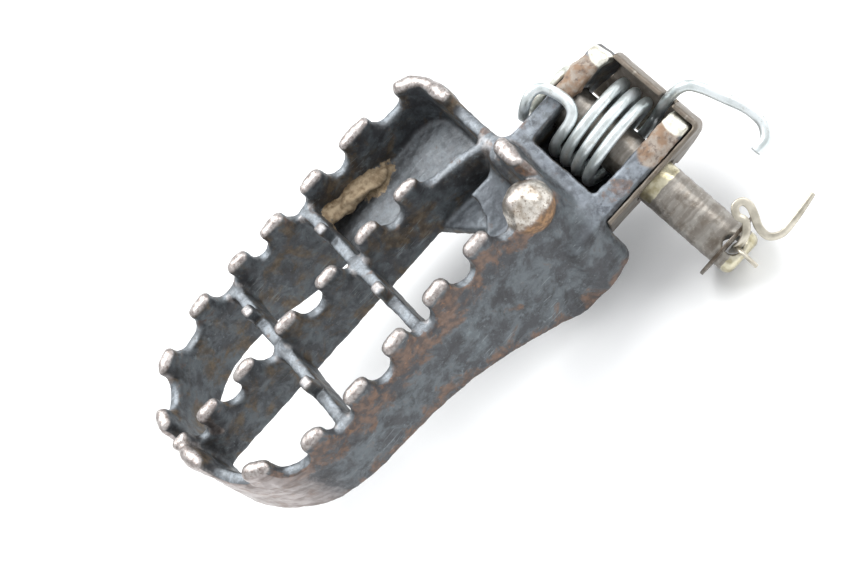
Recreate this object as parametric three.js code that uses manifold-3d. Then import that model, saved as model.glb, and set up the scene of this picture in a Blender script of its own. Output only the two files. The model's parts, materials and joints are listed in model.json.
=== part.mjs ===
// Folding foot peg for an off-road motorcycle, with its pivot pin and return spring.
// Millimetres, +Z up. The origin is on the pivot pin's axis, midway between the two clevis ears.
// +X points outward to the tip of the peg and +Y to the rear of the motorcycle.
// The pin leans: its own frame is (x, s, e), where s runs along the pin towards the rear and
// downward, and e runs upward across it.

import * as THREE from 'three';
import { mergeVertices } from 'three/addons/utils/BufferGeometryUtils.js';
import Module from 'manifold-3d';

const wasm = await Module();
wasm.setup();

// ---- driving dimensions -------------------------------------------------------------------

const PIN_LEAN = THREE.MathUtils.degToRad(31.3);

const TOOTH_TOP = 18.8;
const TOOTH_HEIGHT = 5.3;
const TOOTH_WIDTH = 4.4;
const VALLEY_RADIUS = 3.2;
const VALLEY_FLARE = 0.6;
const MIN_VALLEY = 5.0;
const VALLEY_FACETS = 4;
const TOOTH_CHAMFER = 1.0;
const WALL_TOP = 2.9;
const WALL_FOOT = 3.4;
const RIB_WIDTH = 2.8;
const RIB_TOOTH_TOP = 17.4;
const CROSS_RIB_FOOT = 6.0;
const MIDDLE_RIB_FOOT = 2.0;
const MIDDLE_RIB_Y = -14.6;
const FLOOR_THICKNESS = 3.0;
const CORNER_BOSS_RADIUS = 5.0;

const SLOT_FLOOR = 11.2;
const SHOULDER_X = 14.5;
const BLOCK_END = 20.0;
const EAR_INNER = 8.4;
const REAR_EAR_OUTER = 13.7;
const FRONT_EAR_OUTER = -12.6;
const FLARE_INNER = -6.8;
const FLARE_START = -8.2;
const EAR_HALF_HEIGHT = 8.5;
const EAR_TIP_RADIUS = 14.0;
const EAR_BORE_RADIUS = 5.3;
const HEEL_X = -4.0;
const HEEL_BOTTOM = -13.4;
const HEEL_HALF_WIDTH = 8.9;
const COIL_ROOM_RADIUS = 12.1;

const PIN_RADIUS = 5.0;
const PIN_HEAD_RADIUS = 6.8;
const PIN_HEAD_FACE = -12.95;
const PIN_HEAD_THICKNESS = 1.9;
const PIN_END = 39.0;
const PIN_CHAMFER = 1.0;
const SPLIT_PIN_S = 36.35;
const SPLIT_PIN_HOLE_S = 35.5;
const SPLIT_PIN_HOLE_RADIUS = 2.0;

const WASHER_S = 34.3;
const WASHER_THICKNESS = 0.8;
const WASHER_RADIUS = 8.25;
const WASHER_BORE_RADIUS = 5.3;

const PLATE_THICKNESS = 1.0;
const PLATE_OUTER = 14.9;
const PLATE_FREE_EDGE = -8.0;
const PLATE_LOWER_EDGE = -12.0;
const PLATE_LOWER_SWEEP = THREE.MathUtils.degToRad(38.5);
const PLATE_RADIUS = 15.35;
const PLATE_HALF_HEIGHT = 7.8;
const PLATE_FLANGE_END = 13.6;
const WEB_SWEEP = THREE.MathUtils.degToRad(61);
const NOTCH = { from: 4.3, to: 8.1, floor: 3.0 };
const PLATE_BORE_RADIUS = 5.6;

const WIRE_RADIUS = 1.2;
const COIL_RADIUS = 10.0;
const COIL_CENTRE_X = -0.9;
const COIL_PITCH = 3.12;
const COIL_START_S = -6.58;
const COIL_START_TURN = 0.42;
const COIL_END_TURN = 4.0;
const SPLIT_WIRE_RADIUS = 0.85;

// The rim of the tread, once round: top centre (x, y), foot centre (x, y) and foot height.
const RIM = [
  { top: [18.2, 6.8], foot: [16.6, 13.4], z: -13.0 },
  { top: [21.6, 9.4], foot: [19.5, 14.8], z: -15.0 },
  { top: [28.0, 9.6], foot: [28.5, 14.6], z: -17.0 },
  { top: [34.7, 9.6], foot: [34.7, 13.8], z: -14.3 },
  { top: [46.9, 10.2], foot: [46.9, 12.8], z: -9.2 },
  { top: [59.3, 11.0], foot: [59.3, 12.4], z: -5.2 },
  { top: [71.5, 12.0], foot: [71.5, 12.4], z: -3.6 },
  { top: [84.4, 12.0], foot: [84.6, 12.4], z: -2.6 },
  { top: [92.5, 9.8], foot: [92.9, 10.4], z: -1.8 },
  { top: [99.5, 4.5], foot: [100.1, 5.0], z: -1.4 },
  { top: [105.2, -3.5], foot: [105.9, -3.3], z: -1.2 },
  { top: [108.0, -15.0], foot: [108.7, -15.0], z: -1.0 },
  { top: [106.8, -25.0], foot: [107.4, -25.2], z: -1.0 },
  { top: [101.5, -32.2], foot: [101.9, -32.6], z: -1.2 },
  { top: [93.0, -36.8], foot: [93.2, -37.2], z: -1.5 },
  { top: [82.0, -38.0], foot: [82.0, -38.3], z: -2.5 },
  { top: [68.0, -37.8], foot: [68.0, -38.2], z: -6.0 },
  { top: [50.0, -37.6], foot: [50.0, -38.2], z: -8.5 },
  { top: [32.0, -37.4], foot: [32.0, -38.0], z: -9.0 },
  { top: [22.0, -37.0], foot: [22.0, -37.5], z: -8.0 },
  { top: [17.0, -33.0], foot: [17.0, -33.0], z: -5.0 },
  { top: [16.0, -26.9], foot: [16.5, -26.9], z: -1.0 },
  { top: [16.2, -13.0], foot: [17.0, -13.0], z: 0.0 },
  { top: [16.6, -1.2], foot: [17.5, -1.2], z: -4.0 },
];
const RIM_STEPS = 72;

// Tooth centres in order round the rim, from the rear corner boss.
const RIM_TEETH = [
  [21.6, 9.6], [34.7, 9.6], [46.9, 10.2], [59.3, 11.0], [71.5, 12.4], [84.4, 12.2],
  [97.6, 6.3], [107.7, -8.9], [107.8, -22.7], [98.7, -33.5],
  [85.7, -38.1], [72.7, -37.8], [60.8, -37.8], [48.8, -37.4], [36.0, -37.4], [19.8, -35.9],
  [16.2, -26.9], [16.7, -1.2],
];
const MIDDLE_TEETH_X = [10.0, 36.1, 48.2, 60.6, 73.5, 86.7, 98.3, 108.0];
const CROSS_RIBS = [
  { x: 54.6, teeth: [-26.4, -2.5], from: -37.6, to: 11.0 },
  { x: 78.5, teeth: [-26.4, 0.0], from: -38.0, to: 12.2 },
];

// ---- helpers ------------------------------------------------------------------------------

const AXIS_X = new THREE.Vector3(1, 0, 0);
const AXIS_Y = new THREE.Vector3(0, 1, 0);
const AXIS_Z = new THREE.Vector3(0, 0, 1);
const PIN_FRAME = new THREE.Matrix4().makeRotationX(-PIN_LEAN);

function toSolid(geometry) {
  geometry.deleteAttribute('normal');
  geometry.deleteAttribute('uv');
  const merged = mergeVertices(geometry, 1e-4);
  const mesh = new wasm.Mesh({
    numProp: 3,
    vertProperties: Float32Array.from(merged.attributes.position.array),
    triVerts: Uint32Array.from(merged.index.array),
  });
  return new wasm.Manifold(mesh);
}

function toGeometry(solid) {
  const mesh = solid.getMesh();
  const geometry = new THREE.BufferGeometry();
  geometry.setAttribute('position', new THREE.BufferAttribute(mesh.vertProperties, 3));
  geometry.setIndex(new THREE.BufferAttribute(mesh.triVerts, 1));
  return geometry;
}

function outline(points) {
  return new THREE.Shape(points.map(([a, b]) => new THREE.Vector2(a, b)));
}

function extrude(shape, depth, curveSegments = 10) {
  return new THREE.ExtrudeGeometry(shape, { depth, bevelEnabled: false, curveSegments });
}

// An outline in (x, z), solid from y0 to y1.
function alongY(shape, y0, y1, curveSegments) {
  const geometry = extrude(shape, y1 - y0, curveSegments);
  const basis = new THREE.Matrix4().makeBasis(AXIS_X, AXIS_Z, AXIS_Y.clone().negate());
  return geometry.applyMatrix4(basis).translate(0, y1, 0);
}

// An outline in (y, z), solid from x0 to x1.
function alongX(shape, x0, x1, curveSegments) {
  const geometry = extrude(shape, x1 - x0, curveSegments);
  return geometry.applyMatrix4(new THREE.Matrix4().makeBasis(AXIS_Y, AXIS_Z, AXIS_X)).translate(x0, 0, 0);
}

// An outline in (x, y), solid from z0 to z1.
function alongZ(shape, z0, z1, curveSegments) {
  return extrude(shape, z1 - z0, curveSegments).translate(0, 0, z0);
}

function box(x0, x1, y0, y1, z0, z1) {
  const geometry = new THREE.BoxGeometry(x1 - x0, y1 - y0, z1 - z0);
  return geometry.translate((x0 + x1) / 2, (y0 + y1) / 2, (z0 + z1) / 2);
}

function rod(radius, y0, y1, segments) {
  const geometry = new THREE.CylinderGeometry(radius, radius, y1 - y0, segments);
  return geometry.translate(0, (y0 + y1) / 2, 0);
}

function wire(points, radius, steps, sides) {
  const section = [];
  for (let i = 0; i < sides; i += 1) {
    const angle = (2 * Math.PI * i) / sides;
    section.push([radius * Math.cos(angle), radius * Math.sin(angle)]);
  }
  const extrudePath = new THREE.CatmullRomCurve3(points, false, 'centripetal');
  return new THREE.ExtrudeGeometry(outline(section), { steps, extrudePath, bevelEnabled: false });
}

const vectors = (rows) => rows.map((row) => new THREE.Vector3(...row));

// ---- peg casting --------------------------------------------------------------------------

// A round-bottomed gap between two teeth, in (across, up), with its top on the tooth tops.
function valleyOutline(halfWidth, top) {
  const shoulder = halfWidth + TOOTH_CHAMFER;
  const radius = Math.min(VALLEY_RADIUS, halfWidth - VALLEY_FLARE);
  const bend = Math.max(halfWidth - VALLEY_FLARE - radius, 0);
  const centre = top - TOOTH_HEIGHT + radius;
  const shape = new THREE.Shape();
  shape.moveTo(-shoulder, top + 2);
  shape.lineTo(-shoulder, top);
  shape.lineTo(-halfWidth, top - TOOTH_CHAMFER);
  shape.absarc(-bend, centre, radius, Math.PI, 1.5 * Math.PI, false);
  shape.absarc(bend, centre, radius, 1.5 * Math.PI, 2 * Math.PI, false);
  shape.lineTo(halfWidth, top - TOOTH_CHAMFER);
  shape.lineTo(shoulder, top);
  shape.lineTo(shoulder, top + 2);
  return shape;
}

function closedCurve(points) {
  return new THREE.CatmullRomCurve3(points, true, 'centripetal');
}

const rimTop = closedCurve(RIM.map(({ top }) => new THREE.Vector3(top[0], top[1], TOOTH_TOP)));
const rimFoot = closedCurve(RIM.map(({ foot, z }) => new THREE.Vector3(foot[0], foot[1], z)));

function outward(t) {
  const tangent = rimTop.getTangent(t);
  return new THREE.Vector3(-tangent.y, tangent.x, 0).normalize();
}

function rimWall() {
  const position = [];
  const index = [];
  for (let i = 0; i < RIM_STEPS; i += 1) {
    const t = i / RIM_STEPS;
    const normal = outward(t);
    const top = rimTop.getPoint(t);
    const foot = rimFoot.getPoint(t);
    const corners = [
      top.clone().addScaledVector(normal, WALL_TOP / 2),
      top.clone().addScaledVector(normal, -WALL_TOP / 2),
      foot.clone().addScaledVector(normal, -WALL_FOOT / 2),
      foot.clone().addScaledVector(normal, WALL_FOOT / 2),
    ];
    corners.forEach((corner) => position.push(corner.x, corner.y, corner.z));
    const next = (i + 1) % RIM_STEPS;
    for (let k = 0; k < 4; k += 1) {
      const a = 4 * i + k;
      const b = 4 * i + ((k + 1) % 4);
      const c = 4 * next + ((k + 1) % 4);
      const d = 4 * next + k;
      index.push(a, b, c, a, c, d);
    }
  }
  const geometry = new THREE.BufferGeometry();
  geometry.setAttribute('position', new THREE.BufferAttribute(new Float32Array(position), 3));
  geometry.setIndex(index);
  return toSolid(geometry);
}

// The curve parameter of the rim point nearest to (x, y).
function nearestOnRim([x, y]) {
  const samples = 960;
  let best = 0;
  let least = Infinity;
  for (let i = 0; i < samples; i += 1) {
    const point = rimTop.getPoint(i / samples);
    const distance = Math.hypot(point.x - x, point.y - y);
    if (distance < least) {
      least = distance;
      best = i / samples;
    }
  }
  return best;
}

function rimValleys() {
  const places = RIM_TEETH.map(nearestOnRim);
  const cuts = [];
  places.forEach((start, i) => {
    const end = places[(i + 1) % places.length] + (i + 1 === places.length ? 1 : 0);
    const from = rimTop.getPoint(start % 1);
    const to = rimTop.getPoint(end % 1);
    const middle = rimTop.getPoint(((start + end) / 2) % 1);
    const along = to.clone().sub(from);
    const halfWidth = (along.length() - TOOTH_WIDTH) / 2;
    if (halfWidth < MIN_VALLEY / 2) return;
    const angle = Math.atan2(along.y, along.x);
    const cut = alongY(valleyOutline(halfWidth, TOOTH_TOP), -5, 5, VALLEY_FACETS);
    cut.rotateZ(angle).translate(middle.x, middle.y, 0);
    cuts.push(toSolid(cut));
  });
  return cuts;
}

function middleRib() {
  const half = RIB_WIDTH / 2;
  const first = SHOULDER_X + 2.5;
  const last = MIDDLE_TEETH_X[MIDDLE_TEETH_X.length - 1];
  const near = MIDDLE_RIB_Y + half;
  const far = MIDDLE_RIB_Y - half;
  let rib = toSolid(box(first, last, far, near, MIDDLE_RIB_FOOT, TOOTH_TOP));
  for (let i = 0; i + 1 < MIDDLE_TEETH_X.length; i += 1) {
    const from = MIDDLE_TEETH_X[i];
    const to = MIDDLE_TEETH_X[i + 1];
    const halfWidth = (to - from - TOOTH_WIDTH) / 2;
    const cut = alongY(valleyOutline(halfWidth, TOOTH_TOP), far - 1, near + 1, VALLEY_FACETS);
    rib = rib.subtract(toSolid(cut.translate((from + to) / 2, 0, 0)));
  }
  return rib;
}

function crossRib({ x, teeth, from, to }) {
  const valley = TOOTH_TOP - TOOTH_HEIGHT;
  const half = RIB_WIDTH / 2;
  const points = [[from, CROSS_RIB_FOOT], [to, CROSS_RIB_FOOT], [to, valley]];
  [...teeth].reverse().forEach((y) => {
    points.push([y + 2.8, valley], [y + 1.5, RIB_TOOTH_TOP], [y - 1.5, RIB_TOOTH_TOP], [y - 2.8, valley]);
  });
  points.push([from, valley]);
  return toSolid(alongX(outline(points), x - half, x + half));
}

// The level web that closes the hinge end of the tread, with a slanted free edge.
function hingeFloor() {
  const edge = outline([
    [17, -37], [54.6, -37], [54.6, MIDDLE_RIB_Y], [38, MIDDLE_RIB_Y], [34, -8], [31.2, -3.7],
    [30, 3], [30, 12], [17, 12],
  ]);
  return toSolid(alongZ(edge, 0, FLOOR_THICKNESS));
}

// The sloping gusset over it, level with the pin frame, hollowed towards the tip.
function hingeGusset() {
  const edge = outline([
    [17, -11.4], [27.9, -11.4], [27.8, -9.2], [29.2, -5.6], [32.7, -2.7], [35, 2], [36, 8], [36, 13.6],
    [17, 13.6],
  ]);
  return toSolid(alongZ(edge, 1.5, 4.0).applyMatrix4(PIN_FRAME));
}

// The block between tread and ears, with a heel that reaches under the spring.
function hingeBlock() {
  const half = EAR_HALF_HEIGHT;
  const core = box(SLOT_FLOOR, BLOCK_END, FRONT_EAR_OUTER, REAR_EAR_OUTER, -half, half);
  const shoulder = outline([[2, 6.6], [17, -1], [17.2, -11], [15.6, -15.6], [7.4, -15], [-2, -8]]);
  const heel = box(HEEL_X, BLOCK_END, -HEEL_HALF_WIDTH, HEEL_HALF_WIDTH, HEEL_BOTTOM, 0);
  const block = toSolid(core.applyMatrix4(PIN_FRAME)).add(toSolid(heel.applyMatrix4(PIN_FRAME)));
  return block.add(toSolid(alongX(shoulder, SHOULDER_X, BLOCK_END)));
}

// A slab with a round tip, from one x to the tip and between two places along the pin.
function ear(root, from, to) {
  const tip = Math.asin(EAR_HALF_HEIGHT / EAR_TIP_RADIUS);
  const shape = new THREE.Shape();
  shape.moveTo(root, -EAR_HALF_HEIGHT);
  shape.lineTo(root, EAR_HALF_HEIGHT);
  shape.absarc(0, 0, EAR_TIP_RADIUS, Math.PI - tip, Math.PI + tip, false);
  return toSolid(alongY(shape, from, to).applyMatrix4(PIN_FRAME));
}

function cornerBoss() {
  const boss = new THREE.SphereGeometry(CORNER_BOSS_RADIUS, 12, 8);
  return toSolid(boss.translate(21.9, 9.7, TOOTH_TOP - CORNER_BOSS_RADIUS));
}

function pegCasting() {
  let body = rimWall();
  rimValleys().forEach((cut) => {
    body = body.subtract(cut);
  });
  body = body.add(middleRib());
  CROSS_RIBS.forEach((rib) => {
    body = body.add(crossRib(rib));
  });
  body = body.add(hingeFloor()).add(hingeGusset()).add(hingeBlock()).add(cornerBoss());
  const root = SLOT_FLOOR + 2;
  body = body.add(ear(root, EAR_INNER, REAR_EAR_OUTER)).add(ear(root, FRONT_EAR_OUTER, -EAR_INNER));
  const bore = rod(EAR_BORE_RADIUS, FRONT_EAR_OUTER - 2, REAR_EAR_OUTER + 2, 40);
  const slot = box(-20, SLOT_FLOOR, -EAR_INNER, EAR_INNER, 0, 20);
  const coilRoom = rod(COIL_ROOM_RADIUS, -EAR_INNER, EAR_INNER, 48).translate(COIL_CENTRE_X, 0, 0);
  body = body.subtract(toSolid(bore.applyMatrix4(PIN_FRAME)));
  body = body.subtract(toSolid(slot.applyMatrix4(PIN_FRAME)));
  body = body.subtract(toSolid(coilRoom.applyMatrix4(PIN_FRAME)));
  return toGeometry(body.add(ear(FLARE_START, -EAR_INNER - 0.5, FLARE_INNER)));
}

// ---- pivot hardware, all in the pin frame ---------------------------------------------------

function pivotPin() {
  const profile = [
    [0, PIN_HEAD_FACE - PIN_HEAD_THICKNESS],
    [PIN_HEAD_RADIUS - 0.6, PIN_HEAD_FACE - PIN_HEAD_THICKNESS],
    [PIN_HEAD_RADIUS, PIN_HEAD_FACE - PIN_HEAD_THICKNESS + 0.6],
    [PIN_HEAD_RADIUS, PIN_HEAD_FACE],
    [PIN_RADIUS, PIN_HEAD_FACE],
    [PIN_RADIUS, PIN_END - PIN_CHAMFER],
    [PIN_RADIUS - PIN_CHAMFER, PIN_END],
    [0, PIN_END],
  ];
  const turned = new THREE.LatheGeometry(profile.map(([r, y]) => new THREE.Vector2(r, y)), 32);
  const hole = rod(SPLIT_PIN_HOLE_RADIUS, -PIN_RADIUS - 2, PIN_RADIUS + 2, 16);
  hole.rotateX(Math.PI / 2).translate(0, SPLIT_PIN_HOLE_S, 0);
  return toGeometry(toSolid(turned).subtract(toSolid(hole)));
}

function flatWasher() {
  const end = WASHER_S + WASHER_THICKNESS;
  const profile = [
    [WASHER_BORE_RADIUS, WASHER_S],
    [WASHER_RADIUS, WASHER_S],
    [WASHER_RADIUS, end],
    [WASHER_BORE_RADIUS, end],
    [WASHER_BORE_RADIUS, WASHER_S],
  ];
  return new THREE.LatheGeometry(profile.map(([r, y]) => new THREE.Vector2(r, y)), 32);
}

// The bent sheet plate: a flange along the rear ear, and a web curved round the ear tips and
// under the spring, notched for the spring's long leg.
function clevisPlate() {
  const tip = Math.asin(PLATE_HALF_HEIGHT / PLATE_RADIUS);
  const innerRadius = PLATE_RADIUS - PLATE_THICKNESS;
  const flangeInner = PLATE_OUTER - PLATE_THICKNESS;
  const flange = new THREE.Shape();
  flange.moveTo(PLATE_FLANGE_END, -PLATE_HALF_HEIGHT);
  flange.lineTo(PLATE_FLANGE_END, PLATE_HALF_HEIGHT);
  flange.absarc(0, 0, PLATE_RADIUS, Math.PI - tip, Math.PI + tip, false);
  const sector = (start, end) => {
    const shape = new THREE.Shape();
    shape.absarc(0, 0, PLATE_RADIUS, start, end, false);
    shape.absarc(0, 0, innerRadius, end, start, true);
    return shape;
  };
  const web = sector(Math.PI - tip, Math.PI + WEB_SWEEP);
  const lower = sector(Math.PI + PLATE_LOWER_SWEEP, Math.PI + WEB_SWEEP);
  const bore = rod(PLATE_BORE_RADIUS, flangeInner - 1, PLATE_OUTER + 1, 36);
  const cheek = toSolid(alongY(flange, flangeInner, PLATE_OUTER, 16)).subtract(toSolid(bore));
  const notch = box(-PLATE_RADIUS - 1, -8, NOTCH.from, NOTCH.to, NOTCH.floor, PLATE_HALF_HEIGHT + 1);
  const bent = toSolid(alongY(web, PLATE_FREE_EDGE, PLATE_OUTER, 24)).subtract(toSolid(notch));
  const tongue = toSolid(alongY(lower, PLATE_LOWER_EDGE, PLATE_FREE_EDGE + 1, 12));
  return toGeometry(cheek.add(bent).add(tongue));
}

// Hook over the front ear, four turns round the pin, then the long bent leg.
function returnSpring() {
  const route = vectors([
    [8.3, -14.4, 2.6], [7.9, -14.35, 5.0], [7.0, -14.5, 8.0], [5.4, -14.9, 9.7], [3.5, -14.9, 10.3],
    [2.0, -13.8, 10.3], [1.2, -11.6, 10.2], [0.8, -9.6, 10.2], [0.9, -7.6, 10.3], [1.7, -6.0, 10.1],
    [3.3, -5.2, 9.3], [5.9, -5.1, 7.3],
  ]);
  const stepsPerTurn = 16;
  const first = Math.ceil(COIL_START_TURN * stepsPerTurn);
  const last = COIL_END_TURN * stepsPerTurn;
  for (let i = first; i <= last; i += 1) {
    const turn = i / stepsPerTurn;
    const angle = 2 * Math.PI * turn;
    const x = COIL_CENTRE_X - COIL_RADIUS * Math.cos(angle);
    route.push(new THREE.Vector3(x, COIL_START_S + COIL_PITCH * turn, COIL_RADIUS * Math.sin(angle)));
  }
  route.push(...vectors([
    [-12.2, 6.0, 3.4], [-14.0, 6.2, 6.6], [-16.0, 6.8, 9.2], [-17.4, 7.8, 9.9], [-18.6, 9.9, 9.9],
    [-20.1, 14.5, 9.6], [-21.6, 20.3, 9.3], [-21.3, 23.9, 9.1], [-19.4, 26.2, 8.9], [-16.1, 26.5, 8.7],
  ]));
  return wire(route, WIRE_RADIUS, 120, 8);
}

// Split pin: shank through the pin, eye leaning over the washer, long bent leg, and a short leg.
function splitPin() {
  const long = wire(vectors([
    [0, SPLIT_PIN_S, -6.5], [0, SPLIT_PIN_S, 0], [0, SPLIT_PIN_S, 5.4], [-1.1, 36.6, 8.0],
    [-3.0, 35.8, 9.7], [-4.4, 34.2, 10.0], [-4.1, 32.4, 10.2], [-5.2, 30.9, 10.4], [-6.8, 31.2, 10.4],
    [-7.2, 32.8, 10.2], [-6.3, 35.0, 10.0], [-5.3, 37.0, 9.2], [-5.3, 39.6, 8.4], [-7.4, 41.2, 8.0],
    [-10.2, 41.3, 8.0], [-14.8, 40.8, 8.0], [-17.5, 40.4, 8.0],
  ]), SPLIT_WIRE_RADIUS, 50, 6);
  const short = wire(vectors([
    [0.3, SPLIT_PIN_S, 3.4], [0.4, 36.8, 5.4], [0.5, 37.8, 6.7], [0.6, 39.6, 6.9], [0.7, 42.0, 7.0],
  ]), SPLIT_WIRE_RADIUS, 10, 6);
  return toGeometry(toSolid(long).add(toSolid(short)));
}

// ---- assembly -----------------------------------------------------------------------------

const castSteel = { color: 0x4e5458, roughness: 0.62, metalness: 0.85 };
const wornSteel = { color: 0x7f7a72, roughness: 0.42, metalness: 0.95 };
const zincWire = { color: 0xaeb5b4, roughness: 0.3, metalness: 0.95 };
const sheetSteel = { color: 0x7a6f62, roughness: 0.5, metalness: 0.9 };

function part(name, geometry, finish) {
  geometry.computeVertexNormals();
  const mesh = new THREE.Mesh(geometry, new THREE.MeshStandardMaterial(finish));
  mesh.name = name;
  return mesh;
}

const pivot = new THREE.Group();
pivot.rotation.x = -PIN_LEAN;
pivot.add(part('pivot_pin', pivotPin(), wornSteel));
pivot.add(part('flat_washer', flatWasher(), wornSteel));
pivot.add(part('split_pin', splitPin(), zincWire));
pivot.add(part('return_spring', returnSpring(), zincWire));
pivot.add(part('clevis_plate', clevisPlate(), sheetSteel));

const footPeg = new THREE.Group();
footPeg.add(part('peg_casting', pegCasting(), castSteel));
footPeg.add(pivot);

export default footPeg;
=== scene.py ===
"""Looks of a folding motorcycle foot peg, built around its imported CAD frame.

Shapes are worked out in millimetres in the frame's own axes and stored in metres. The pin frame is
(x, s, e): s runs along the leaning pivot pin towards its split pin, and e runs upward across it.
"""

import json
import math

import bpy
import numpy as np
from mathutils import Matrix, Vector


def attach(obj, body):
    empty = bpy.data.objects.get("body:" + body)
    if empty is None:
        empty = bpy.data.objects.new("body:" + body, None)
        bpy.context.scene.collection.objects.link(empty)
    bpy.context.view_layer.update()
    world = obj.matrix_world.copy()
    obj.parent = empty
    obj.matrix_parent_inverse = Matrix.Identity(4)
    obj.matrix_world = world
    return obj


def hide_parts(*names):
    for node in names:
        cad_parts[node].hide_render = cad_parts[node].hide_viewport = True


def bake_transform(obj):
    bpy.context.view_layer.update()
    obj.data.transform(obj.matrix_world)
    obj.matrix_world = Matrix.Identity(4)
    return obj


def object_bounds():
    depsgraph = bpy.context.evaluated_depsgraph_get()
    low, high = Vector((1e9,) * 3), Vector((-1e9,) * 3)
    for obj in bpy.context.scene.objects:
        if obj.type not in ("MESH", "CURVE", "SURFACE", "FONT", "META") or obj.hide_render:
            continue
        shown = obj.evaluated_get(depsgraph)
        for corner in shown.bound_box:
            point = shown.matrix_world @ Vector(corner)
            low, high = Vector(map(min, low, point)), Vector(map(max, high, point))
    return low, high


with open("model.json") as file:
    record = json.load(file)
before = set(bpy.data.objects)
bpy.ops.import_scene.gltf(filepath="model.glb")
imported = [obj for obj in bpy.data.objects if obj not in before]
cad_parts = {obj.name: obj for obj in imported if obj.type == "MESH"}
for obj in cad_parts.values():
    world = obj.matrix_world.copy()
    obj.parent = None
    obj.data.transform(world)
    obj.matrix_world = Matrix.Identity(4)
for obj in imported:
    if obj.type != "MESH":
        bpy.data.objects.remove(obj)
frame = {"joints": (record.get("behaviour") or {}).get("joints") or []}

CAD_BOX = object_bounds()
MM = 0.001
FOLD = next(joint for joint in frame["joints"] if joint["name"] == "fold")
PIN_AXIS = -np.array(FOLD["axis"], float)
PIN_UP = np.cross([1.0, 0.0, 0.0], PIN_AXIS)


# ---- distance fields ------------------------------------------------------------------------

def soft_min(a, b, k):
    """Union of two distance fields with a fillet of about k."""
    h = np.clip(0.5 + 0.5 * (b - a) / k, 0, 1)
    return b * (1 - h) + a * h - k * h * (1 - h)


def soft_max(a, b, k):
    return -soft_min(-a, -b, k)


def round_both(a, b, r):
    """Where both a and b are inside, with an edge rounded to radius r."""
    return np.minimum(-r, np.maximum(a, b)) + np.hypot(np.maximum(a + r, 0), np.maximum(b + r, 0))


def block(x, y, z, low, high, r):
    """A box between two corners with its edges rounded to r."""
    parts = []
    for value, a, b in zip((x, y, z), low, high):
        parts.append(np.abs(value - (a + b) / 2) - (b - a) / 2 + r)
    outside = np.sqrt(sum(np.maximum(part, 0) ** 2 for part in parts))
    inside = np.minimum(np.maximum(np.maximum(parts[0], parts[1]), parts[2]), 0)
    return outside + inside - r


def polygon(u, v, points):
    """Signed distance to a closed outline in the plane."""
    nearest = np.full(np.broadcast(u, v).shape, 1e9)
    inside = np.zeros(nearest.shape, bool)
    for (ax, ay), (bx, by) in zip(points, points[1:] + points[:1]):
        ex, ey = bx - ax, by - ay
        t = np.clip(((u - ax) * ex + (v - ay) * ey) / (ex * ex + ey * ey), 0, 1)
        nearest = np.minimum(nearest, (u - ax - t * ex) ** 2 + (v - ay - t * ey) ** 2)
        crosses = (ay > v) != (by > v)
        inside ^= crosses & (u < ax + (v - ay) * ex / (ey if ey else 1e-9))
    return np.where(inside, -1, 1) * np.sqrt(nearest)


def ball(x, y, z, centre, radii):
    """A sphere or ellipsoid."""
    p = [(value - c) / r for value, c, r in zip((x, y, z), centre, radii)]
    return (np.sqrt(p[0] ** 2 + p[1] ** 2 + p[2] ** 2) - 1) * min(radii)


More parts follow.
